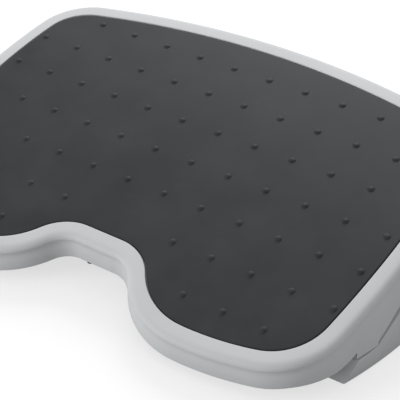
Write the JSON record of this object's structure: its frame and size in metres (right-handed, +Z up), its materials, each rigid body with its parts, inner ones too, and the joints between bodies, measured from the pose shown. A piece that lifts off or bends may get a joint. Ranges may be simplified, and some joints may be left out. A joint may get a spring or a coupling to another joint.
{
  "type": "under desk footrest",
  "caption": "Tilting under desk footrest: a grey plastic deck with a notched front and a studded rubber mat rocks on two friction pivots over a low base.",
  "frame": {"origin": "centre of the footrest's outer box, on the floor", "axes": "+X to the sitter's right, +Y away from the sitter, +Z up"},
  "size_m": [0.549, 0.3747, 0.1269],
  "materials": {
    "grey_abs": "textured",
    "mat_rubber": "matte",
    "foot_rubber": "matte",
    "zinc_steel": "satin",
    "white_nylon": "matte"
  },
  "bodies": {
    "base": {"base_leg_right": "grey_abs", "base_leg_left": "grey_abs", "front_crossbar": "grey_abs", "rear_crossbar": "grey_abs", "front_crossbar_screws": "zinc_steel", "rear_crossbar_screws": "zinc_steel", "pivot_bolts": "zinc_steel", "friction_washers": "white_nylon", "spring_washers": "zinc_steel", "lock_nuts": "zinc_steel", "stop_pins": "zinc_steel", "front_crossbar_feet": "foot_rubber", "rear_crossbar_feet": "foot_rubber", "front_foot_pads": "foot_rubber", "rear_foot_pads": "foot_rubber"},
    "deck": {"deck_shell": "grey_abs", "rubber_mat": "mat_rubber", "hinge_bracket_right": "zinc_steel", "hinge_bracket_left": "zinc_steel", "bracket_screws": "zinc_steel", "pivot_bushes": "white_nylon"}
  },
  "joints": [
    {"name": "deck_tilt", "type": "hinge", "parent": "base", "child": "deck", "pos_m": [0, -0.00689, 0.06287], "axis": [1, 0, 0], "range_deg": [-14.6, 0]}
  ]
}
